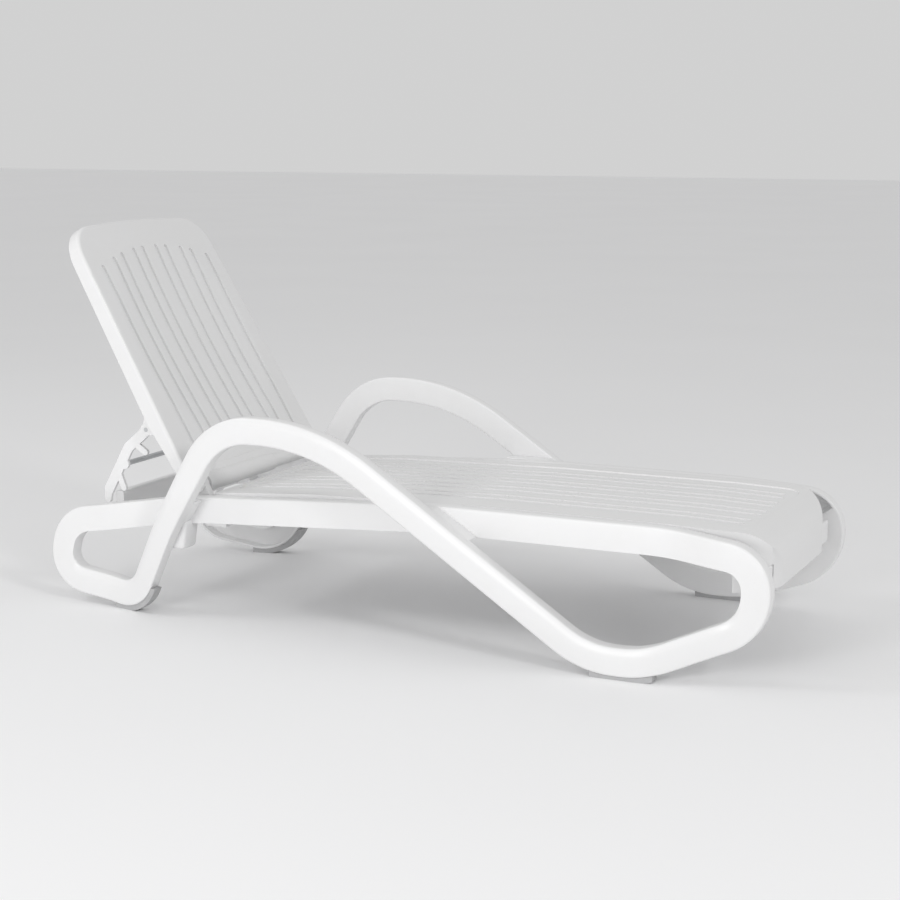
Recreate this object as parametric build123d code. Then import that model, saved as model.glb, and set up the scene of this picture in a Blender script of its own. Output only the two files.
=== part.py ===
from build123d import *
import os
from math import cos, degrees, radians, sin

# Reclining sun lounger, millimetres. +X towards the foot end, +Y towards the sitter's left,
# +Z up, origin on the floor under the middle of the frame. The back is raised at rest.

# ---- driving dimensions: layout ----
SHIFT_X = 5.05  # moves the whole layout so that the frame is centred on X = 0
ARM_OUT = 360.0  # outer face of each arm from the middle plane
RAIL_OUT = 292.0  # outer face of each seat rail
NOSE_OUT = 312.0  # outer face of the front and rear noses
BAND_T = 34.0  # thickness of the frame band across the lounger
BAND_D = 57.0  # depth of the frame band in side view
BAND_WALL = 6.0  # wall of the open channel on the band's inner side
WEB_GRIP = 4.0  # how far a crossing web runs into the two bands it joins
LEG_BOSS = [(-546, 216), (-470, 216), (-480, 150), (-548, 150)]  # block between leg and rail
LEG_BOSS_Y = (262.0, 318.0)

# ---- side frame: centre line of the band, as corners (x, z) with their bend radii ----
LOWER_CORNERS = [  # from the rear nose under the foot, over the arm and down to the front nose
    ((-790, 188), 0),
    ((-818, 62), 60),
    ((-600, 32), 70),
    ((-513, 200), 800),
    ((-372, 432), 150),
    ((-132, 432), 450),
    ((468, 35), 200),
    ((590, 36), 250),
    ((800, 122), 100),
    ((790, 250), 0),
]
UPPER_CORNERS = [  # from the front nose along the seat rail to the rear nose
    ((800, 122), 0),
    ((790, 250), 65),
    ((600, 268), 900),
    ((100, 268), 2500),
    ((-480, 236), 1500),
    ((-790, 188), 75),
    ((-818, 62), 0),
]
NOSE_SPLIT = {"front": 185.0, "rear": 125.0}  # height where the lower and upper bands meet

# ---- open channels in the band's inner side, as (x, x, z, z); solid pads stay between them ----
FOOT_CHANNELS = [(-900, -560, -50, 600)]
RAIL_CHANNELS = [
    (-900, -735, -50, 600), (-661, -540, -50, 600), (-398, 36, -50, 600), (124, 700, -50, 600),
    (700, 900, 234, 600),
]

# ---- plan view of the band: where its outer face moves across ----
FOOT_BLEND = (560.0, 765.0)  # front foot moves in from the arm face to the nose face
RAIL_BLEND = (600.0, 765.0)  # rail moves out from the rail face to the nose face
LEG_BLEND = (-440.0, -700.0)  # rear leg moves in
TAIL_BLEND = (-540.0, -700.0)  # rail moves out at the rear

# ---- seat deck ----
DECK_HALF = 256.5  # half width, just inside the rails
DECK_T = 4.5  # shell thickness
DECK_REAR = -432.0
DECK_FRONT = 806.0
LIP_BOTTOM = 172.0  # lowest point of the rolled foot end
LIP_R = 75.0  # side view radius of the rolled foot end
LIP_CORNER = 110.0  # plan view radius of its two corners
PLAN_SPARE = 0.3  # the plan outline runs this far past the side view's front
SKIRT = 26.0  # depth of the deck's side walls
DECK_TOP = [(-900.0, 238.0), (-200.0, 288.0), (200.0, 297.0), (600.0, 297.0)]
FIELD_SINK = 3.0  # the slatted field lies this far below its border
GROOVE_W = 14.0  # width and depth of the grooves between slats
GROOVE_DEEP = 5.0
GROOVES = [27.5, 65.3, 120.3, 158.1]  # half spacings of the seat's grooves from the middle
BACK_EDGE_GROOVE = 213.0  # the back has one more groove along each side of its field
FIELD_HALF = 213.0  # half width and ends of the sunk field
FIELD_REAR = -415.0
FIELD_FRONT = 750.0
FIELD_CORNER = 40.0
GROOVE_STOP = 12.0  # the grooves end this far inside the field
DECK_ARC = 20.0  # outer grooves stop this much sooner, at the foot end
BACK_ARC = 38.0  # and at the top of the back
FLOOR_T = 2.5  # wall left under the seat's grooves
RIB_T = 4.0  # thickness of every stiffening rib
DECK_RIBS = [-300.0, -170.0, -40.0, 200.0, 330.0, 460.0]  # cross ribs under the deck

POST_R = 8.0  # screw posts under the deck stand on the cross beams
POST_Y = 180.0
POST_AHEAD = 4.0

# ---- cross beams between the rails ----
BEAM_HALF = 257.5  # the beams reach from rail to rail
BEAM_WALL = 4.0
BEAM_GAP = 1.0  # the deck is cut back this far from the front beam
BEAMS = {  # name: (x centre, z bottom, width, height)
    "front_beam": (780.0, 176.0, 30.0, 46.0),
    "middle_beam": (80.0, 222.0, 60.0, 44.0),
    "hinge_beam": (-432.0, 196.0, 52.0, 38.0),
}

# ---- back rest and its hinge ----
HINGE_X = -475.0
HINGE_Z = 286.0
RAISED = 59.5  # angle of the raised back above the horizontal
BACK_FACE = 8.0  # front face of the back, from the hinge axis
BACK_LEN = 646.0
BACK_FOOT = 30.0  # distance from the hinge axis to the lower edge
BACK_HALF_LOW = 290.0
BACK_HALF_TOP = 262.0
BACK_CORNER = 75.0
BACK_CROWN = 12.0  # how far the top edge bows up in the middle
BACK_T = 5.0
BACK_EDGE = 8.0  # rounding of the front edge
DISH_DEEP = 12.0  # the front is dished: depth, half width and half length of the hollow
DISH_HALF_WIDE = 245.0
DISH_HALF_LONG = 268.0
BACK_RIB_DEEP = 27.0  # the back's cross ribs reach this far below its front face
BRACKET_PAD = (216.0, 256.0)  # span of the thick pads that the stay's brackets sit on
PAD_SPARE = 2.0  # the pads run this far past the bracket's foot plate
DISH_PLATE = 4.0  # wall left under the grooves
BACK_BACKING = 130.0  # the plate is full thickness outside this distance from the middle
BACK_SEAT = 15.0  # depth below the front face where the stay's brackets are screwed on
BACK_RIM = [(30.0, 24.0), (170.0, 38.0), (560.0, 34.0), (646.0, 26.0)]  # (distance, rim depth)
BACK_MIDDLE = 330.0  # distance from the hinge to the middle of the hollow
BACK_GROOVES = (60.0, 577.0)  # the back's grooves start and end this far from the hinge
BACK_RIBS = [110.0, 260.0, 400.0, 530.0]  # distances of the back's cross ribs
TUBE_R = 11.0
TUBE_WALL = 2.0
TUBE_HALF = 258.0
BUSH_R = 13.0
RUN_FIT = 0.08  # radial running clearance of a turning pin
BARREL = [(-236.0, 48.0, 21.0), (48.0, 236.0, 17.5)]  # spans and radii of the back's hinge barrel
BUSHES = [(60.0, 100.0), (196.0, 236.0)]  # spans of the bushes on each side
LUGS = (239.0, 257.5)  # span of the fixed hinge lug on each side
LUG_R = 18.0
CAP_R = 17.0

# ---- stay: two toothed arms that hang from the back and stand on the rest bar ----
STAY_S = 165.0  # pivot's distance from the hinge along the back
STAY_N = -60.0  # and behind the hinge axis
STAY_Y = 245.0  # middle plane of each arm
STAY_T = 8.0
PIVOT_R = 5.0
REST_BAR = (-698.0, 206.0, 22.0, 44.0)  # x centre, z bottom, width, height
REST_WALL = 4.0
REST_SKIRT = 26.0  # the bar's walls run this far below its nominal bottom
REST_HALF = 237.0  # the bar ends just inside the arms
TONGUE_Z = (180.0, 190.0)  # the bar's low tongues that reach the rails under the arms
TONGUE_HALF = 257.5
FLANGE = (251.5, 205.0)  # inner face and top of the flanges that meet the rails
TIE_R = 6.0
TIE_DOWN = 105.0  # distance from the stay's pivot to the tie rod
TIE_TURN = 52.0  # its direction from the pivot, down and to the rear
CHEEK_T = 5.0  # thickness of the bracket's cheeks
EYE_R = 14.0  # radius of the cheeks around the pivot
BRACKET_REAR = 70.0  # the bracket's foot plate, from the pivot
BRACKET_FRONT = 40.0
FLANGE_Y = 226.0  # screw line on the bracket's foot plate
FLANGE_REACH = 9.0  # the plate runs this far past the screw line
FLANGE_T = 4.0
SCREW_INSET = 12.0  # bracket screws, from the ends of the foot plate

# ---- feet and screws ----
PAD_T = 12.0  # the pads are this thick before the ground plane cuts them
PADS = [(478.0, 606.0, 22.0), (-665.0, -500.0, 62.0)]  # (x, x, top); the rear one climbs the leg
SCREW_R = 2.2
SCREW_HEAD = (4.5, 2.4)  # radius and height of the heads
BEAM_SCREW = 18.0  # lengths of the three sorts of screw
DECK_SCREW = 16.0
BRACKET_SCREW = 9.0
# places of the screws through the beams' ends, as (x, z)
BEAM_SCREWS = [(-444.0, 222.0), (-420.0, 222.0), (68.0, 252.0), (92.0, 252.0), (782.0, 200.0)]
REST_SCREW_Z = 193.0


def side(sketch, y0, y1):
    """Extrude a side view drawn in (x, z) between two Y positions."""
    low, high = min(y0, y1), max(y0, y1)
    plane = Plane(origin=(0, high, 0), x_dir=(1, 0, 0), z_dir=(0, -1, 0))
    return extrude(plane * sketch, amount=high - low, dir=(0, -1, 0))


def plan(sketch, z0, z1):
    """Extrude a plan view drawn in (x, y) between two heights."""
    return extrude(Pos(0, 0, z0) * sketch, amount=z1 - z0, dir=(0, 0, 1))


def rod(x, z, radius, y0, y1):
    """A round bar along Y."""
    return side(Pos(x, z) * Circle(radius), y0, y1)


def box(x0, x1, y0, y1, z0, z1):
    """A block given by its limits."""
    size = (abs(x1 - x0), abs(y1 - y0), abs(z1 - z0))
    return Pos((x0 + x1) / 2, (y0 + y1) / 2, (z0 + z1) / 2) * Box(*size)


def band(corners, half_depth):
    """The frame band's side view: its centre line widened to both sides."""
    points = [point for point, _ in corners]
    radii = [radius for _, radius in corners[1:-1]]
    line = FilletPolyline(*points, radius=radii)
    return make_face(line.wire().offset_2d(half_depth))


def half_plane(x0, x1, z0, z1):
    """A rectangle in side view, used to keep one part of a band."""
    return Pos((x0 + x1) / 2, (z0 + z1) / 2) * Rectangle(x1 - x0, z1 - z0)


def blend_edges(start, end, y_start, y_end):
    """A plan view curve that moves from one Y to another with level ends."""
    reach = (end - start) * 0.45
    return Bezier((start, y_start), (start + reach, y_start), (end - reach, y_end), (end, y_end))


def plan_band(front, rear, y_mid, outer, inner):
    """Plan view of a band between its outer face less `outer` and its inner face less `inner`."""
    far_front, far_rear = 1000.0, -1000.0
    faces = []
    for inset in (outer, inner):
        nose_y, mid_y = NOSE_OUT - inset, y_mid - inset
        faces.append([
            Line((far_front, nose_y), (front[1], nose_y)),
            blend_edges(front[1], front[0], nose_y, mid_y),
            Line((front[0], mid_y), (rear[0], mid_y)),
            blend_edges(rear[0], rear[1], mid_y, nose_y),
            Line((rear[1], nose_y), (far_rear, nose_y)),
        ])
    ends = [
        Line(faces[0][0] @ 0, faces[1][0] @ 0),
        Line(faces[0][-1] @ 1, faces[1][-1] @ 1),
    ]
    return make_face(Wire(faces[0] + faces[1] + ends))


def side_frame(sign):
    """One side frame: arm, legs, noses and seat rail as one moulded ribbon."""
    lower_keep = half_plane(-900, -700, -50, NOSE_SPLIT["rear"])
    lower_keep += half_plane(-700, 700, -50, 600)
    lower_keep += half_plane(700, 900, -50, NOSE_SPLIT["front"])
    upper_keep = half_plane(-900, -700, NOSE_SPLIT["rear"], 600)
    upper_keep += half_plane(-700, 700, -50, 600)
    upper_keep += half_plane(700, 900, NOSE_SPLIT["front"], 600)
    parts = []
    for corners, keep, front, rear, y_mid, channels in (
        (LOWER_CORNERS, lower_keep, FOOT_BLEND, LEG_BLEND, ARM_OUT, FOOT_CHANNELS),
        (UPPER_CORNERS, upper_keep, RAIL_BLEND, TAIL_BLEND, RAIL_OUT, RAIL_CHANNELS),
    ):
        shape = band(corners, BAND_D / 2) & keep
        body = side(shape, 200, 400) & plan(plan_band(front, rear, y_mid, 0, BAND_T), -50, 600)
        hollow = band(corners, BAND_D / 2 - BAND_WALL) & keep
        channel = side(hollow, 200, 400)
        channel &= plan(plan_band(front, rear, y_mid, BAND_WALL, BAND_T + BAND_WALL), -50, 600)
        for x0, x1, z0, z1 in channels:
            body -= channel & box(x0, x1, 200, 400, z0, z1)
        parts.append((shape, body))
    web = parts[0][0] & parts[1][0] & half_plane(-650, 650, 0, 600)
    frame = parts[0][1] + parts[1][1]
    frame += side(web, RAIL_OUT - WEB_GRIP, ARM_OUT - BAND_T + WEB_GRIP)
    boss = make_face(Polyline(*LEG_BOSS, close=True))
    low = [v for v in boss.vertices() if v.Y < 160]
    frame += side(fillet(low, 12), *LEG_BOSS_Y)
    frame = Pos(SHIFT_X, 0, 0) * frame
    return frame if sign > 0 else mirror(frame, about=Plane.XZ)


def deck_region(depth):
    """Side view of everything more than `depth` below the deck's top surface."""
    outline = [*DECK_TOP, (DECK_FRONT, 290.0), (DECK_FRONT, -100.0), (-900.0, -100.0)]
    face = make_face(Polyline(*outline, close=True))
    lip = [v for v in face.vertices() if v.X > DECK_FRONT - 1 and v.Y > 0]
    face = fillet(lip, LIP_R)
    return offset(face, amount=-depth, kind=Kind.INTERSECTION) if depth else face


def deck_plan(inset):
    """Plan view of the deck with its two rounded foot corners, a hair longer than the side view."""
    front = DECK_FRONT + PLAN_SPARE
    outline = Pos((front + DECK_REAR) / 2, 0) * Rectangle(front - DECK_REAR, 2 * DECK_HALF)
    corners = [v for v in outline.vertices() if v.X > 0]
    outline = fillet(corners, LIP_CORNER)
    return offset(outline, amount=-inset) if inset else outline


def strips(x0, x1, half_spacings, arc_rear, arc_front):
    """Plan view of the grooves, each with rounded ends; the outer ones stop short by the arcs."""
    slots = []
    for y in half_spacings:
        share = (y / FIELD_HALF) ** 2
        start, end = x0 + arc_rear * share, x1 - arc_front * share
        slot = SlotOverall(end - start, GROOVE_W)
        slots += [Pos((start + end) / 2, place) * slot for place in (-y, y)]
    return Sketch() + slots


def seat_deck():
    """The seat: a thin ribbed shell with a rolled foot end and a grooved field."""
    floor = half_plane(DECK_REAR, DECK_FRONT + 10, LIP_BOTTOM, 400)
    outer = side(deck_region(0) & floor, -300, 300) & plan(deck_plan(0), 0, 400)
    inner = side(deck_region(DECK_T), -300, 300) & plan(deck_plan(DECK_T), 0, 400)
    deck = outer - inner
    deep = side(deck_region(SKIRT), -300, 300)
    deck -= deep & box(-900, DECK_FRONT - LIP_R, -300, 300, 0, 400)
    skin = side(deck_region(-1) - deck_region(FIELD_SINK), -300, 300)
    middle, length = (FIELD_REAR + FIELD_FRONT) / 2, FIELD_FRONT - FIELD_REAR
    field = Pos(middle, 0) * RectangleRounded(length, 2 * FIELD_HALF, FIELD_CORNER)
    plate = side(deck_region(0) - deck_region(FIELD_SINK + GROOVE_DEEP + FLOOR_T), -300, 300)
    deck += plate & plan(offset(field, amount=DECK_T), 0, 400) & box(-900, 900, -250, 250, 0, 400)
    deck -= skin & plan(field, 0, 400)
    cut = side(deck_region(-1) - deck_region(FIELD_SINK + GROOVE_DEEP), -300, 300)
    start, end = FIELD_REAR + GROOVE_STOP, FIELD_FRONT - GROOVE_STOP
    deck -= cut & plan(strips(start, end, GROOVES, 0, DECK_ARC), 0, 400)
    rib_zone = side(deck_region(DECK_T) - deck_region(SKIRT), -300, 300)
    rib_zone &= plan(deck_plan(DECK_T / 2), 0, 400)
    for x in DECK_RIBS:
        deck += rib_zone & box(x - RIB_T / 2, x + RIB_T / 2, -300, 300, 0, 400)
    under = side(deck_region(DECK_T), -300, 300)
    for x, z, _, height in BEAMS.values():
        for y in (-POST_Y, POST_Y):
            deck += under & plan(Pos(x + POST_AHEAD, y) * Circle(POST_R), z + height, 300)
    x, z, width, height = BEAMS["front_beam"]
    deck -= box(x - width / 2 - BEAM_GAP, x + width / 2 + BEAM_GAP, -300, 300, 0, z + height)
    return Pos(SHIFT_X, 0, 0) * deck


def beam(x, z, width, height):
    """A cross beam: a channel open below, with closed ends."""
    block = box(x - width / 2, x + width / 2, -BEAM_HALF, BEAM_HALF, z, z + height)
    block = fillet(block.edges().filter_by(Axis.Y).group_by(Axis.Z)[-1], BEAM_WALL)
    wall = BEAM_WALL
    hollow = box(x - width / 2 + wall, x + width / 2 - wall, -BEAM_HALF + wall, BEAM_HALF - wall,
                 z - 1, z + height - wall)
    return Pos(SHIFT_X, 0, 0) * (block - hollow)


def both(y0, y1):
    """The same span on both sides of the middle plane."""
    return [(y0, y1), (-y1, -y0)]


def hinge_beam():
    """Rear seat beam with the four lugs that carry the hinge tube."""
    x, z, width, height = BEAMS["hinge_beam"]
    body = Pos(-SHIFT_X, 0, 0) * beam(x, z, width, height)
    foot = Polygon((HINGE_X - LUG_R, HINGE_Z), (x - width / 2, z), (x, z), (x, z + height),
                   (HINGE_X + LUG_R, HINGE_Z), align=None)
    for y0, y1 in both(*LUGS):
        body += side(foot, y0, y1) + rod(HINGE_X, HINGE_Z, LUG_R, y0, y1)
    body -= rod(HINGE_X, HINGE_Z, TUBE_R, -300, 300)
    return Pos(SHIFT_X, 0, 0) * body


def hinge_tube():
    """Aluminium tube that the back turns on."""
    tube = rod(HINGE_X, HINGE_Z, TUBE_R, -TUBE_HALF, TUBE_HALF)
    tube -= rod(HINGE_X, HINGE_Z, TUBE_R - TUBE_WALL, -TUBE_HALF - 1, TUBE_HALF + 1)
    return Pos(SHIFT_X, 0, 0) * tube


def hinge_cap(sign):
    """Round cap pressed into the end of the hinge tube."""
    head = rod(HINGE_X, HINGE_Z, CAP_R, TUBE_HALF, TUBE_HALF + 5)
    head = fillet(head.edges().group_by(Axis.Y)[-1], 3)
    plug = rod(HINGE_X, HINGE_Z, TUBE_R - TUBE_WALL, TUBE_HALF - 12, TUBE_HALF)
    cap = Pos(SHIFT_X, 0, 0) * (head + plug)
    return cap if sign > 0 else mirror(cap, about=Plane.XZ)


def raise_back(shape):
    """Turn a part drawn with the back lying flat to its raised place."""
    shape = shape.rotate(Axis((HINGE_X, 0, HINGE_Z), (0, 1, 0)), RAISED)
    return Pos(SHIFT_X, 0, 0) * shape


def back_outline(inset):
    """Front view of the back: tapered, with large top corners and a bowed top edge."""
    low, top = HINGE_X - BACK_FOOT, HINGE_X - BACK_LEN
    knee = top + BACK_CROWN
    sketch = make_face(
        Polyline((knee, BACK_HALF_TOP), (low, BACK_HALF_LOW), (low, -BACK_HALF_LOW),
                 (knee, -BACK_HALF_TOP))
        + ThreePointArc((knee, -BACK_HALF_TOP), (top, 0), (knee, BACK_HALF_TOP))
    )
    tops = [v for v in sketch.vertices() if v.X < knee + 1]
    sketch = fillet(tops, BACK_CORNER)
    return offset(sketch, amount=-inset) if inset else sketch


def back_dish(extra):
    """The hollow in the back's front, `extra` deeper, curved both along and across."""
    deep = DISH_DEEP + extra
    bow = (DISH_HALF_WIDE ** 2 - DISH_DEEP ** 2) / (2 * DISH_DEEP)  # radius across
    reach = (DISH_HALF_LONG ** 2 - DISH_DEEP ** 2) / (2 * DISH_DEEP)  # radius along
    wide = DISH_HALF_WIDE + 30
    rise = wide ** 2 / (2 * bow) - deep
    face, centre = HINGE_Z + BACK_FACE, HINGE_X - BACK_MIDDLE
    plane = Plane(origin=(centre, 0, face), x_dir=(0, 1, 0), z_dir=(1, 0, 0))
    outline = make_face(
        ThreePointArc((-wide, rise), (0, -deep), (wide, rise))
        + Polyline((wide, rise), (wide, rise + 20), (-wide, rise + 20), (-wide, rise))
    )
    swing = degrees(2 * (DISH_HALF_LONG + 40) / reach)
    axis = Axis((centre, 0, face + reach), (0, 1, 0))
    hollow = revolve(plane * outline, axis=axis, revolution_arc=swing)
    return hollow.rotate(axis, -swing / 2)


def back_panel():
    """The back rest: a shallow ribbed tray with a grooved field and hinge barrels."""
    face = HINGE_Z + BACK_FACE
    rim = Polygon(
        (HINGE_X - BACK_RIM[0][0], face),
        *[(HINGE_X - distance, face - depth) for distance, depth in BACK_RIM],
        (HINGE_X - BACK_RIM[-1][0], face), align=None,
    )
    outer = plan(back_outline(0), 0, 400) & side(rim, -300, 300)
    outer = fillet(outer.edges().group_by(Axis.Z)[-1], BACK_EDGE)
    panel = outer - plan(back_outline(BACK_T), 0, face - BACK_T)
    start, end = HINGE_X - BACK_GROOVES[1], HINGE_X - BACK_GROOVES[0]
    inside = plan(back_outline(BACK_T / 2), 0, face - 1)
    panel += back_dish(GROOVE_DEEP + DISH_PLATE) & inside
    backing = GROOVE_DEEP + DISH_PLATE
    for y0, y1 in both(BACK_BACKING, BACK_EDGE_GROOVE + GROOVE_W):
        panel += box(start, end, y0, y1, face - backing, face - 1)
    panel -= back_dish(0)
    lines = strips(start, end, [*GROOVES, BACK_EDGE_GROOVE], BACK_ARC, 0)
    cut = back_dish(GROOVE_DEEP) + box(start, end, -300, 300, face - GROOVE_DEEP, face + 9)
    panel -= cut & plan(lines, 0, 400)
    for distance in BACK_RIBS:
        x = HINGE_X - distance
        rib = box(x - RIB_T / 2, x + RIB_T / 2, -300, 300, face - BACK_RIB_DEEP, face - BACK_T)
        panel += (rib & plan(back_outline(BACK_T / 2), 0, 400)) - back_dish(GROOVE_DEEP)
    for y0, y1 in both(*BRACKET_PAD):
        x = HINGE_X - STAY_S
        x0, x1 = x - BRACKET_REAR - PAD_SPARE, x + BRACKET_FRONT + PAD_SPARE
        panel += box(x0, x1, y0, y1, face - BACK_SEAT, face - BACK_T)
    for y0, y1, radius in BARREL:
        arm = Polygon((HINGE_X, HINGE_Z + radius * 0.6), (HINGE_X - BACK_FOOT - 4, face - 1),
                      (HINGE_X - BACK_FOOT - 4, face - 22), (HINGE_X, HINGE_Z - radius * 0.9),
                      align=None)
        panel += side(arm, y0, y1) + rod(HINGE_X, HINGE_Z, radius, y0, y1)
    panel -= rod(HINGE_X, HINGE_Z, BUSH_R, -300, 300)
    return raise_back(panel)


def hinge_bushes(sign):
    """Plastic bushes pressed in the barrels, running on the tube."""
    bushes = []
    for y0, y1 in BUSHES:
        bush = rod(HINGE_X, HINGE_Z, BUSH_R, sign * y0, sign * y1)
        bushes.append(bush - rod(HINGE_X, HINGE_Z, TUBE_R + RUN_FIT, -300, 300))
    return [Pos(SHIFT_X, 0, 0) * bush for bush in bushes]


def stay_bracket(sign):
    """Two cheeks on a foot plate, screwed behind the back, that carry the stay's pivot."""
    px, pz = HINGE_X - STAY_S, HINGE_Z + STAY_N
    seat = HINGE_Z + BACK_FACE - BACK_SEAT
    x0, x1 = px - BRACKET_REAR, px + BRACKET_FRONT
    cheek = Polygon((px - EYE_R, pz), (x0, seat), (x1, seat), (px + EYE_R, pz), align=None)
    gap = STAY_T / 2 + 1
    bracket = None
    for side_sign in (-1, 1):
        inner = STAY_Y + side_sign * gap
        outer = inner + side_sign * CHEEK_T
        piece = side(cheek, inner, outer) + rod(px, pz, EYE_R, inner, outer)
        bracket = piece if bracket is None else bracket + piece
    outer = STAY_Y + gap + CHEEK_T
    bracket += box(x0, x1, FLANGE_Y - FLANGE_REACH, outer, seat - FLANGE_T, seat)
    bracket -= rod(px, pz, PIVOT_R, 0, 400)
    bracket = raise_back(bracket)
    return bracket if sign > 0 else mirror(bracket, about=Plane.XZ)


def pivot_place():
    """The stay's pivot with the back raised, as (x, z)."""
    turn = radians(RAISED)
    x = HINGE_X - STAY_S * cos(turn) + STAY_N * sin(turn)
    z = HINGE_Z + STAY_S * sin(turn) + STAY_N * cos(turn)
    return x, z


def stay_arm(sign):
    """A toothed arm: its last notch stands over the rest bar."""
    px, pz = pivot_place()
    bar_x, bar_z, bar_w, bar_h = REST_BAR
    spine = [(px, pz), (px - 52, pz - 44), (bar_x - 20, bar_z + bar_h + 4), (bar_x - 24, 232)]
    tie_x, tie_z = tie_place()
    body = make_face(Polyline(*spine[:2]).wire().offset_2d(12))
    body += make_face(Polyline(*spine[1:3]).wire().offset_2d(12))
    body += make_face(Polyline(*spine[2:4]).wire().offset_2d(9))
    body += Pos(tie_x, tie_z) * Circle(12)
    for tooth_x, tooth_z, tip_x, tip_z in (
        (bar_x + 8, bar_z + 84, bar_x + 20, bar_z + 54),
        (px - 26, pz - 40, px - 8, pz - 52),
    ):
        body += make_face(Polyline((tooth_x, tooth_z), (tip_x, tip_z)).wire().offset_2d(7))
    arm = side(body, STAY_Y - STAY_T / 2, STAY_Y + STAY_T / 2)
    arm -= rod(px, pz, PIVOT_R + RUN_FIT, 0, 400)
    arm = Pos(SHIFT_X, 0, 0) * arm
    return arm if sign > 0 else mirror(arm, about=Plane.XZ)


def stay_pin(sign):
    """Headed pivot pin, pressed in the bracket's cheeks."""
    px, pz = pivot_place()
    reach = STAY_T / 2 + 1 + CHEEK_T
    pin = rod(px, pz, PIVOT_R, STAY_Y - reach - 3, STAY_Y + reach)
    pin += rod(px, pz, PIVOT_R + 3, STAY_Y - reach - 5, STAY_Y - reach)
    pin = Pos(SHIFT_X, 0, 0) * pin
    return pin if sign > 0 else mirror(pin, about=Plane.XZ)


def tie_place():
    """Centre of the tie rod with the back raised, as (x, z)."""
    px, pz = pivot_place()
    turn = radians(TIE_TURN)
    return px - TIE_DOWN * cos(turn), pz - TIE_DOWN * sin(turn)


def tie_rod():
    """Rod that joins the two stay arms so that they swing together."""
    half = STAY_Y - STAY_T / 2
    return Pos(SHIFT_X, 0, 0) * rod(*tie_place(), TIE_R, -half, half)


def rest_bar():
    """Fixed bar the stay stands on: a raised bar between low tongues that reach the rails."""
    x, z, width, height = REST_BAR
    bar = box(x - width / 2, x + width / 2, -REST_HALF, REST_HALF, z - REST_SKIRT, z + height)
    bar = fillet(bar.edges().filter_by(Axis.Y).group_by(Axis.Z)[-1], REST_WALL + 2)
    wall = REST_WALL
    bar -= box(x - width / 2 + wall, x + width / 2 - wall, -REST_HALF + wall, REST_HALF - wall,
               z - REST_SKIRT - 1, z + height - wall)
    for y0, y1 in both(REST_HALF - 2 * wall, TONGUE_HALF):
        bar += box(x - width / 2, x + width / 2, y0, y1, *TONGUE_Z)
    for y0, y1 in both(FLANGE[0], TONGUE_HALF):
        bar += box(x - width / 2, x + width / 2, y0, y1, TONGUE_Z[0], FLANGE[1])
    return Pos(SHIFT_X, 0, 0) * bar


def foot_pads(sign):
    """Front and rear rubber pads, each cut to the foot it is pressed on."""
    ground = half_plane(-900, 900, 0, 90)
    foot = band(LOWER_CORNERS, BAND_D / 2)
    lowest = band(LOWER_CORNERS, BAND_D / 2 + PAD_T) & ground
    lane = plan_band(FOOT_BLEND, LEG_BLEND, ARM_OUT, 3, BAND_T - 3)
    pads = []
    for x0, x1, top in PADS:
        shape = (lowest - foot) & half_plane(x0, x1, 0, top)
        pad = side(shape, 200, 400) & plan(lane, -10, 90)
        pad = Pos(SHIFT_X, 0, 0) * pad
        pads.append(pad if sign > 0 else mirror(pad, about=Plane.XZ))
    return pads


def screw(x, y, z, axis, length):
    """A pan head screw whose head sits at the given point and whose shank runs along `axis`."""
    head = Pos(0, 0, -SCREW_HEAD[1]) * Cylinder(SCREW_HEAD[0], SCREW_HEAD[1],
                                                align=(Align.CENTER, Align.CENTER, Align.MIN))
    shank = Cylinder(SCREW_R, length, align=(Align.CENTER, Align.CENTER, Align.MIN))
    return Plane(origin=(x, y, z), z_dir=axis) * (head + shank)


def beam_screws():
    """Screws that hold each cross beam and the rest bar to the solid pads of the side frames."""
    screws = []
    for x, z in BEAM_SCREWS:
        for sign in (-1, 1):
            screws.append(screw(x, sign * (BEAM_HALF - BEAM_WALL), z, (0, sign, 0), BEAM_SCREW))
    for sign in (-1, 1):
        place = (REST_BAR[0], sign * FLANGE[0], REST_SCREW_Z)
        screws.append(screw(*place, (0, sign, 0), BEAM_SCREW))
    return Pos(SHIFT_X, 0, 0) * Compound(children=screws)


def deck_screws():
    """Screws from below, through each beam's top wall into the deck's posts."""
    screws = []
    for x, z, _, height in BEAMS.values():
        for y in (-POST_Y, POST_Y):
            screws.append(screw(x + POST_AHEAD, y, z + height - BEAM_WALL, (0, 0, 1), DECK_SCREW))
    return Pos(SHIFT_X, 0, 0) * Compound(children=screws)


def bracket_screws():
    """Screws that hold the stay's brackets to the back."""
    px = HINGE_X - STAY_S
    seat = HINGE_Z + BACK_FACE - BACK_SEAT
    screws = []
    for x in (px - BRACKET_REAR + SCREW_INSET, px + BRACKET_FRONT - SCREW_INSET):
        for y in (-FLANGE_Y, FLANGE_Y):
            screws.append(screw(x, y, seat - FLANGE_T, (0, 0, 1), BRACKET_SCREW))
    return raise_back(Compound(children=screws))


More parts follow.
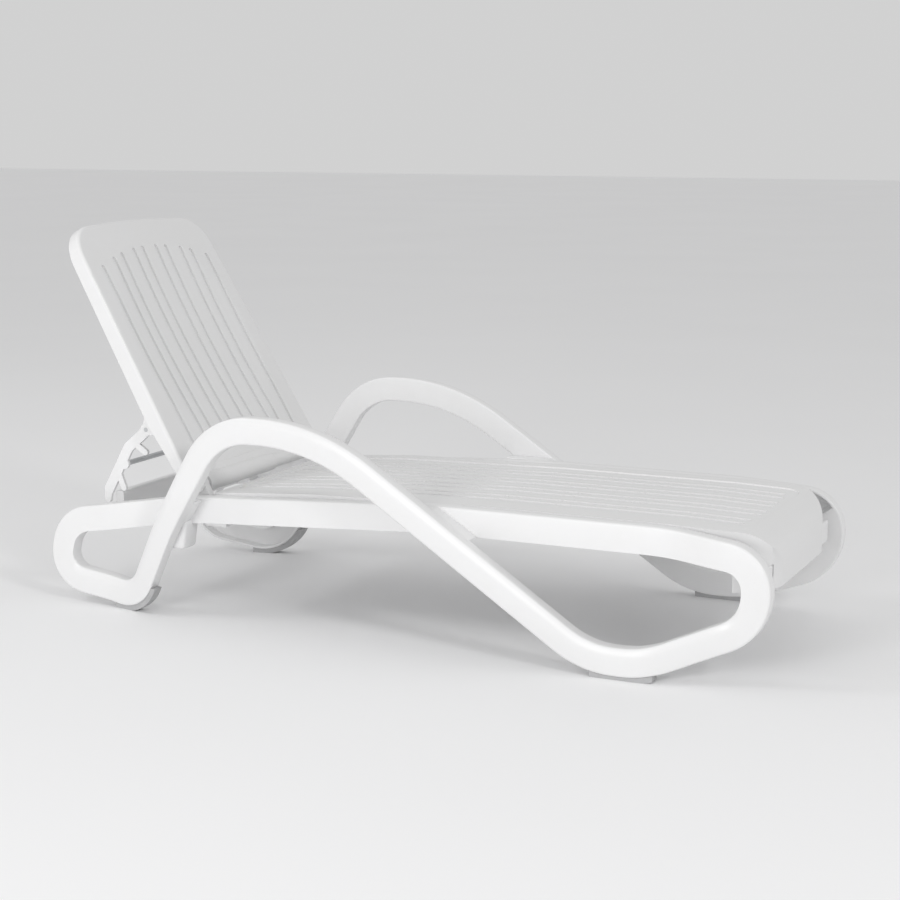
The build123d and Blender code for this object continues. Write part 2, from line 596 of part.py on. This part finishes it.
if __name__ == "__main__":
    os.makedirs("parts", exist_ok=True)
    nodes = {"seat_deck": seat_deck(), "hinge_beam": hinge_beam(), "hinge_tube": hinge_tube()}
    for name in ("front_beam", "middle_beam"):
        nodes[name] = beam(*BEAMS[name])
    nodes["rest_bar"] = rest_bar()
    nodes["back_panel"] = back_panel()
    nodes["stay_tie_rod"] = tie_rod()
    nodes["beam_screws"] = beam_screws()
    nodes["deck_screws"] = deck_screws()
    nodes["bracket_screws"] = bracket_screws()
    for name, sign in (("left", 1), ("right", -1)):
        nodes["side_frame_" + name] = side_frame(sign)
        nodes["hinge_cap_" + name] = hinge_cap(sign)
        nodes["hinge_bushes_" + name] = Compound(children=hinge_bushes(sign))
        nodes["stay_bracket_" + name] = stay_bracket(sign)
        nodes["stay_arm_" + name] = stay_arm(sign)
        nodes["stay_pin_" + name] = stay_pin(sign)
        nodes["front_pad_" + name], nodes["rear_pad_" + name] = foot_pads(sign)
    for name, shape in nodes.items():
        export_step(shape, "parts/" + name + ".step")
        limits = shape.bounding_box()
        print(name, len(shape.solids()), round(shape.volume), limits.min, limits.max)
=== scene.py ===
import math

import bpy
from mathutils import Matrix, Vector


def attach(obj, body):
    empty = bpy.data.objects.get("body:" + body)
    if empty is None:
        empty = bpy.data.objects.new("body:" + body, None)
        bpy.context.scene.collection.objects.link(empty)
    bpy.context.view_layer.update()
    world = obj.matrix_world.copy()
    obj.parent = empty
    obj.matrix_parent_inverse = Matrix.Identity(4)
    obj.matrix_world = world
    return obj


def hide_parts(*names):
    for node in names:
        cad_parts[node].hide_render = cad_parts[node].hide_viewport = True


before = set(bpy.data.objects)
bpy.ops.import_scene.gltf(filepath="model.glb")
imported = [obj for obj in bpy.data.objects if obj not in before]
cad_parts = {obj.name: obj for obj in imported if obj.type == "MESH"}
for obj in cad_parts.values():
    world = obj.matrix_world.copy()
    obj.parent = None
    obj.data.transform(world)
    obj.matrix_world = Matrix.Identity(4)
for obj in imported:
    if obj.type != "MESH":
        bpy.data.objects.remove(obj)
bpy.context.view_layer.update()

# ---- Camera ----
# A long lens off the sitter's right foot corner, a little above the lounger, so that the
# near side frame, the deck and the front of the back are all seen.

aim = Vector((0.0184, 0.0, 0.358))
turn = math.radians(24.87)  # round from the sitter's right side towards the foot end
rise = math.radians(10.13)
reach = 4.069
bpy.ops.object.camera_add()
camera = bpy.context.object
camera.name = "studio_camera"
camera.location = aim + reach * Vector(
    (math.sin(turn) * math.cos(rise), -math.cos(turn) * math.cos(rise), math.sin(rise))
)
camera.rotation_euler = (aim - camera.location).to_track_quat("-Z", "Y").to_euler()
camera.data.lens = 74.0
camera.data.sensor_width = 36.0
bpy.context.scene.camera = camera
bpy.context.scene.view_settings.view_transform = "Standard"

# ---- Shader words ----
# The finishes below are written as expressions on node sockets: a Wire is a socket that can
# be added and multiplied, and a Finish is a material while it is being mixed.


class Wire:
    """An output socket that can be used in sums."""

    def __init__(self, finish, socket):
        self.finish = finish
        self.socket = socket

    def maths(self, operation, first, second):
        return self.finish.node("ShaderNodeMath", {"operation": operation}, {0: first, 1: second})

    def __add__(self, other):
        return self.maths("ADD", self, other)

    def __radd__(self, other):
        return self.maths("ADD", other, self)

    def __sub__(self, other):
        return self.maths("SUBTRACT", self, other)

    def __rsub__(self, other):
        return self.maths("SUBTRACT", other, self)

    def __mul__(self, other):
        return self.maths("MULTIPLY", self, other)

    def __rmul__(self, other):
        return self.maths("MULTIPLY", other, self)

    def above(self, low, high):
        """0 below `low`, 1 above `high`, smooth between."""
        return self.finish.node(
            "ShaderNodeMapRange",
            {"interpolation_type": "SMOOTHSTEP"},
            {"Value": self, "From Min": low, "From Max": high},
        )


class Finish:
    """A material while it is being mixed."""

    def __init__(self, name):
        self.material = bpy.data.materials.new(name)
        self.material.use_nodes = True
        self.tree = self.material.node_tree
        self.tree.nodes.clear()

    def node(self, kind, settings, inputs, output=0):
        made = self.tree.nodes.new(kind)
        for key, value in settings.items():
            setattr(made, key, value)
        for key, value in inputs.items():
            if isinstance(value, Wire):
                self.tree.links.new(value.socket, made.inputs[key])
            else:
                made.inputs[key].default_value = value
        return Wire(self, made.outputs[output])

    def place(self):
        return self.node("ShaderNodeTexCoord", {}, {}, "Object")

    def noise(self, scale, detail, roughness=0.5):
        return self.node(
            "ShaderNodeTexNoise",
            {},
            {"Vector": self.place(), "Scale": scale, "Detail": detail, "Roughness": roughness},
        )

    def blend(self, amount, first, second):
        return self.node(
            "ShaderNodeMix", {"data_type": "RGBA"}, {0: amount, 6: first, 7: second}, 2
        )

    def bump(self, height, strength, distance, under=None):
        links = {"Height": height, "Strength": strength, "Distance": distance}
        if under is not None:
            links["Normal"] = under
        return self.node("ShaderNodeBump", {}, links)

    def finish(self, **sockets):
        links = {key.replace("_", " "): value for key, value in sockets.items()}
        surface = self.node("ShaderNodeBsdfPrincipled", {}, links)
        output = self.tree.nodes.new("ShaderNodeOutputMaterial")
        self.tree.links.new(surface.socket, output.inputs["Surface"])
        return self.material


# ---- Floor and light ----
# A plain pale floor under a bright even sky, with one broad soft light from the front and
# two weaker ones from the head end and the foot end.

bpy.ops.object.select_all(action="DESELECT")
bpy.ops.mesh.primitive_plane_add(size=60.0, location=(0, 0, 0))
floor = bpy.context.object
floor.name = "studio_floor"
paper = Finish("studio_paper")
floor.data.materials.append(
    paper.finish(
        Base_Color=paper.blend(
            paper.noise(0.8, 2.0), (0.90, 0.90, 0.905, 1), (0.93, 0.93, 0.935, 1)
        ),
        Roughness=0.9,
        Specular_IOR_Level=0.1,
    )
)

world = bpy.data.worlds.new("studio_air")
bpy.context.scene.world = world
world.use_nodes = True
world.node_tree.nodes["Background"].inputs["Color"].default_value = (1.0, 1.0, 1.0, 1)
world.node_tree.nodes["Background"].inputs["Strength"].default_value = 0.64


def soft_light(name, place, target, size, power):
    bpy.ops.object.light_add(type="AREA", location=place)
    light = bpy.context.object
    light.name = name
    light.data.shape = "DISK"
    light.data.size = size
    light.data.energy = power
    light.rotation_euler = (Vector(target) - Vector(place)).to_track_quat("-Z", "Y").to_euler()
    return light


soft_light("front_light", (-0.6, -5.0, 1.3), (0, 0, 0.3), 1.6, 66)
soft_light("head_light", (-3.2, -2.0, 3.4), (0, 0, 0.3), 1.4, 22)
soft_light("foot_light", (4.2, -2.6, 3.0), (0, 0, 0.3), 1.0, 52)

# ---- Side frames ----
# Each side is one gas-injected resin moulding: a single band that loops through both feet,
# the armrest and the seat rail, bevelled along the arm and open on its inner side.

MM = 0.001  # sizes below are in millimetres
SHIFT = 5.05  # moves the side view so that the frame is centred
ARM_OUT = 360.0  # outer face of the arm, the rail and the two noses from the middle plane
RAIL_OUT = 292.0
NOSE_OUT = 312.0
BAND_THICK = 34.0  # across the lounger
BAND_HALF = 28.5  # half the depth in side view
BEVEL_WIDE = 14.0  # the outer bevel along the arm
BEVEL_DEEP = 5.0
CHANNEL_DEEP = 28.0  # the open channel on the inner side
CHANNEL_HALF = 22.5
STATION_GAP = 10.0  # spacing of the sections along the band
ROUND_STEPS = 3  # points round each corner of the section

BAND_LOOP = [  # corners of the band's centre line and their bend radii, in side view
    (-818, 62, 60),
    (-600, 32, 70),
    (-513, 200, 800),
    (-372, 432, 150),
    (-132, 432, 450),
    (468, 35, 200),
    (590, 36, 250),
    (800, 122, 100),
    (790, 250, 65),
    (600, 268, 900),
    (100, 268, 2500),
    (-480, 236, 1500),
    (-790, 188, 75),
]
LOWER_BENDS = 8  # the first eight corners belong to the arm and feet, the rest to the rail


def band_stations(corners, spacing):
    """Stations (x, z, heading, lower?) round the closed loop of rounded corners."""
    bends = []
    count = len(corners)
    for i, (x, z, radius) in enumerate(corners):
        before, after = corners[i - 1], corners[(i + 1) % count]
        come = Vector((x - before[0], z - before[1])).normalized()
        go = Vector((after[0] - x, after[1] - z)).normalized()
        swing = math.atan2(come.x * go.y - come.y * go.x, come.dot(go))
        reach = radius * math.tan(abs(swing) / 2)
        bends.append((Vector((x, z)), come, go, swing, reach, radius))
    stations = []
    for i, (corner, come, go, swing, reach, radius) in enumerate(bends):
        lower = i < LOWER_BENDS
        start = corner - come * reach
        side = 1 if swing > 0 else -1
        centre = start + Vector((-come.y, come.x)) * radius * side
        steps = max(2, math.ceil(radius * abs(swing) / spacing), math.ceil(abs(swing) / 0.12))
        heading = math.atan2(come.y, come.x)
        for step in range(steps + 1):
            angle = heading + swing * step / steps
            spoke = Vector((math.sin(angle), -math.cos(angle))) * radius * side
            stations.append((*(centre + spoke), angle, lower))
        leave = corner + go * reach
        ahead = bends[(i + 1) % count]
        arrive = ahead[0] - ahead[1] * ahead[4]
        steps = math.ceil((arrive - leave).length / spacing)
        for step in range(1, steps):
            stations.append((*leave.lerp(arrive, step / steps), heading + swing, lower))
    return stations


def ease(x, start, end):
    """0 at `start`, 1 at `end`, with level ends."""
    t = min(1.0, max(0.0, (x - start) / (end - start)))
    return t * t * (3 - 2 * t)


def outer_face(x, lower):
    """The band's outer face across the lounger at a given place along it."""
    middle = ARM_OUT if lower else RAIL_OUT
    front = ease(x, 560, 765) if lower else ease(x, 600, 765)
    rear = ease(x, -440, -700) if lower else ease(x, -540, -700)
    return middle + (NOSE_OUT - middle) * max(front, rear)


def channel_depth(x, z, lower):
    """Depth of the open inner channel; solid pads stay where beams are screwed on."""
    if lower:
        open_here = x < -560
    else:
        rear = x < -735 or -661 < x < -540
        middle = -398 < x < 36 or 124 < x < 700
        open_here = rear or middle or (x > 700 and z > 234)
    return CHANNEL_DEEP if open_here else 0.0


def rounded_section(corners, segments):
    """A closed section of (n, depth, radius) corners with its corners rounded."""
    points = []
    for i, (n, depth, radius) in enumerate(corners):
        here = Vector((n, depth))
        before = Vector(corners[i - 1][:2]) - here
        after = Vector(corners[(i + 1) % len(corners)][:2]) - here
        radius = min(radius, before.length * 0.45, after.length * 0.45)
        if radius < 1e-6:
            points += [here] * (segments + 1)
            continue
        first, last = here + before.normalized() * radius, here + after.normalized() * radius
        for step in range(segments + 1):
            t = step / segments
            points.append(first.lerp(here, t).lerp(here.lerp(last, t), t))
    return points


def band_section(bevel, channel):
    """The band's section, from its outer face round to the open channel."""
    inner = BAND_THICK
    corners = [
        (-BAND_HALF, 0, 5),
        (BAND_HALF - BEVEL_WIDE * bevel, 0, 9),
        (BAND_HALF, BEVEL_DEEP * bevel, 3.5),
        (BAND_HALF, inner, 3.5),
        (CHANNEL_HALF, inner, 1.2),
        (CHANNEL_HALF, inner - channel, 2.5),
        (-CHANNEL_HALF, inner - channel, 2.5),
        (-CHANNEL_HALF, inner, 1.2),
        (-BAND_HALF, inner, 3.5),
    ]
    return rounded_section(corners, ROUND_STEPS)


def only(piece):
    """Select one object alone and make it the active one."""
    bpy.ops.object.select_all(action="DESELECT")
    piece.select_set(True)
    bpy.context.view_layer.objects.active = piece


def close_up(piece, gap):
    """Merge the seams of a shape and turn its faces outwards."""
    only(piece)
    bpy.ops.object.mode_set(mode="EDIT")
    bpy.ops.mesh.select_all(action="SELECT")
    bpy.ops.mesh.remove_doubles(threshold=gap)
    bpy.ops.mesh.normals_make_consistent(inside=False)
    bpy.ops.object.mode_set(mode="OBJECT")


def finish_by(piece, kind, **settings):
    """Add one modifier and apply it."""
    only(piece)
    modifier = piece.modifiers.new(kind.lower(), kind)
    for key, value in settings.items():
        setattr(modifier, key, value)
    bpy.ops.object.modifier_apply(modifier=modifier.name)


def block(name, corners, near, far, edge):
    """A softened block with a four-cornered side view, between two places across."""
    bpy.ops.object.select_all(action="DESELECT")
    bpy.ops.mesh.primitive_cube_add(size=1.0)
    piece = bpy.context.object
    piece.name = name
    for vertex in piece.data.vertices:
        rear = vertex.co.x < 0
        if vertex.co.z < 0:
            x, z = corners[3 if rear else 2]
        else:
            x, z = corners[0 if rear else 1]
        y = near if vertex.co.y < 0 else far
        vertex.co = Vector(((x + SHIFT) * MM, y * MM, z * MM))
    close_up(piece, 0.00001)
    finish_by(piece, "BEVEL", width=edge * MM, segments=3)
    return piece


def side_band(name, sign):
    """The looped band, laid station by station along its centre line."""
    stations = band_stations(BAND_LOOP, STATION_GAP)
    sections = []
    for x, z, heading, lower in stations:
        bevel = 1.0 if lower else 0.0
        if lower and x > 700:  # the bevel fades out up both noses
            bevel = 1 - ease(z, 95, 180)
        if lower and x < -700:
            bevel = 1 - ease(z, 50, 120)
        sections.append(band_section(max(bevel, 0.02), channel_depth(x, z, lower)))
    columns = len(sections[0])
    bpy.ops.object.select_all(action="DESELECT")
    bpy.ops.mesh.primitive_grid_add(x_subdivisions=columns, y_subdivisions=len(stations), size=1.0)
    piece = bpy.context.object
    piece.name = name
    for index, vertex in enumerate(piece.data.vertices):
        row, column = divmod(index, columns + 1)
        x, z, heading, lower = stations[row % len(stations)]
        n, depth = sections[row % len(stations)][column % columns]
        px = x - n * math.sin(heading)
        pz = z + n * math.cos(heading)
        py = outer_face(px, lower) - depth
        vertex.co = Vector(((px + SHIFT) * MM, sign * py * MM, pz * MM))
    close_up(piece, 0.00002)
    return piece


def moulded_resin(name, light, dark, gloss, grain_strength, sink):
    """White moulded resin: faint flow clouds, rubbed patches, fine grain and shallow sink."""
    resin = Finish(name)
    cloud = resin.noise(2.6, 3.0)
    flow = resin.noise(11.0, 5.0, 0.7).above(0.35, 0.75)
    grain = resin.noise(950.0, 3.0, 0.6)
    ripple = resin.noise(34.0, 2.0)
    scuff = resin.noise(140.0, 6.0, 0.75).above(0.60, 0.76)
    body = resin.blend(cloud, light, dark)
    body = resin.blend(0.30 * flow, body, (0.79, 0.785, 0.775, 1))
    body = resin.blend(0.22 * scuff, body, (0.70, 0.70, 0.69, 1))
    return resin.finish(
        Base_Color=body,
        Roughness=gloss + 0.08 * cloud + 0.12 * scuff - 0.05 * flow,
        Specular_IOR_Level=0.45,
        Normal=resin.bump(grain, grain_strength, 0.0004, resin.bump(ripple, sink, 0.002)),
    )


white_resin = moulded_resin(
    "smooth_white_resin", (0.80, 0.80, 0.803, 1), (0.84, 0.84, 0.843, 1), 0.32, 0.08, 0.03
)

BLOCKS = [  # solid pieces between arm and rail: corners in side view, span across, soft edge
    ("mid_web", [(22, 295), (123, 295), (210, 241), (108, 241)], 287.0, 331.0, 3),
    ("leg_web", [(-509, 261), (-444, 261), (-479, 207), (-543, 207)], 287.0, 331.0, 3),
    ("leg_boss", [(-546, 212), (-470, 216), (-480, 150), (-548, 150)], 262.0, 318.0, 9),
]

for side_name, sign in (("right", -1), ("left", 1)):
    band = side_band("frame_band_" + side_name, sign)
    parts = [
        block(block_name, corners, *sorted((sign * inner, sign * outer)), edge)
        for block_name, corners, inner, outer, edge in BLOCKS
    ]
    only(band)
    for part in parts:
        part.select_set(True)
    bpy.ops.object.join()
    bpy.ops.object.shade_smooth_by_angle(angle=math.radians(38))
    band.data.materials.clear()
    band.data.materials.append(white_resin)
    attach(band, "frame")
    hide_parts("side_frame_" + side_name)

# ---- Seat deck and back ----
# Two injection-moulded shells in the same resin: a slatted field inside a raised border,
# ribs behind, and soft edges all round where the mould parts.


def softened(node, body, material, edge):
    """A copy of a CAD node with its sharp edges eased, which stands for the node."""
    piece = bpy.data.objects.new(node + "_soft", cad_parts[node].data.copy())
    bpy.context.scene.collection.objects.link(piece)
    only(piece)
    bpy.ops.object.mode_set(mode="EDIT")
    bpy.ops.mesh.select_all(action="SELECT")
    bpy.ops.mesh.remove_doubles(threshold=0.000005)
    bpy.ops.mesh.dissolve_limited(angle_limit=math.radians(0.6))
    bpy.ops.object.mode_set(mode="OBJECT")
    finish_by(
        piece, "BEVEL", width=edge * MM, segments=2, limit_method="ANGLE",
        angle_limit=math.radians(40), use_clamp_overlap=True,
    )
    bpy.ops.object.shade_smooth_by_angle(angle=math.radians(35))
    finish_by(piece, "WEIGHTED_NORMAL", keep_sharp=True, weight=60)
    piece.data.materials.clear()
    piece.data.materials.append(material)
    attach(piece, body)
    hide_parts(node)
    return piece


# The deck and back take a darker copy of the white resin (0.77 to 0.81 against 0.80 to 0.84). It is
# painted shade for their upward faces, which are the same resin as the frames; the grain bump and
# roughness are their own.
shaded_slat_resin = moulded_resin(
    "grained_white_resin_painted_shade", (0.77, 0.77, 0.772, 1), (0.81, 0.81, 0.812, 1), 0.44, 0.04, 0.0
)
softened("seat_deck", "frame", shaded_slat_resin, 1.0)
softened("back_panel", "backrest", shaded_slat_resin, 1.0)

# ---- Cross beams and rest bar ----
# Moulded channels, open below, that reach from rail to rail under the deck and are screwed
# to the solid pads of the side frames.

for node in ("hinge_beam", "front_beam", "middle_beam", "rest_bar"):
    softened(node, "frame", white_resin, 1.2)

# ---- Hinge caps and stay ----
# Round caps close the ends of the hinge tube; brackets behind the back carry two toothed
# arms that drop over the rest bar. All are moulded in the frame's resin.

for side_name in ("right", "left"):
    softened("hinge_cap_" + side_name, "frame", white_resin, 0.8)
    softened("stay_bracket_" + side_name, "backrest", white_resin, 1.0)
    softened("stay_arm_" + side_name, "stay", white_resin, 1.2)

# ---- Foot pads ----
# Grey rubber shoes, moulded to the band's curve and pressed on the lowest part of each loop.

rubber = Finish("foot_rubber")
rubber_skin = rubber.finish(
    Base_Color=rubber.blend(rubber.noise(60.0, 4.0), (0.40, 0.40, 0.405, 1), (0.50, 0.50, 0.505, 1)),
    Roughness=0.75 + 0.1 * rubber.noise(200.0, 2.0),
    Normal=rubber.bump(rubber.noise(700.0, 3.0), 0.3, 0.0006),
)
for place in ("front", "rear"):
    for side_name in ("right", "left"):
        softened(place + "_pad_" + side_name, "frame", rubber_skin, 1.5)

# ---- Metal parts and bushes ----
# Zinc plated screws, pins and tie rod, the drawn hinge tube, and the bushes it turns in.

zinc = Finish("zinc_steel")
zinc_skin = zinc.finish(
    Base_Color=zinc.blend(zinc.noise(90.0, 3.0), (0.55, 0.56, 0.57, 1), (0.66, 0.67, 0.68, 1)),
    Metallic=1.0,
    Roughness=0.34 + 0.12 * zinc.noise(300.0, 3.0),
)
for node in ("stay_tie_rod", "beam_screws", "deck_screws", "bracket_screws", "stay_pin_right",
             "stay_pin_left", "hinge_tube"):
    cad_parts[node].data.materials.clear()
    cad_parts[node].data.materials.append(zinc_skin)
for node in ("hinge_bushes_right", "hinge_bushes_left"):
    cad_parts[node].data.materials.clear()
    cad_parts[node].data.materials.append(white_resin)
